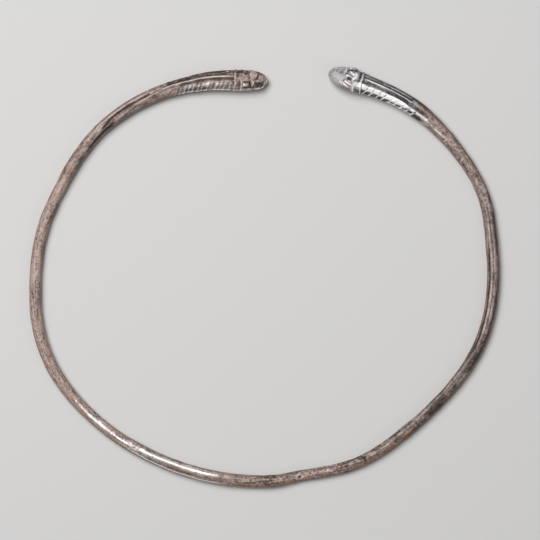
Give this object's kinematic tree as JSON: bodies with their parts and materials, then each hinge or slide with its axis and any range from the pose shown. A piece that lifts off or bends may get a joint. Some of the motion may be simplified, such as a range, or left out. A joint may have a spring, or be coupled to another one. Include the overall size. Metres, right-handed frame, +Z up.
{
  "type": "snake-head torc",
  "caption": "Open neck ring of hammered silver rod, its two ends swelling into keeled, hatched necks and snake heads.",
  "frame": {"origin": "the middle of the torc's outline seen from above, on the surface it lies on", "axes": "+Z up out of the lying torc, +X across the hoop to the right with the heads away from the viewer, +Y towards the opening between the heads"},
  "size_m": [0.1876, 0.168, 0.0085],
  "materials": {
    "aged_silver": "old hammered silver, dull warm grey with dark streaks, worn bright on the necks"
  },
  "bodies": {
    "root": {"torc": "aged_silver"}
  },
  "joints": []
}
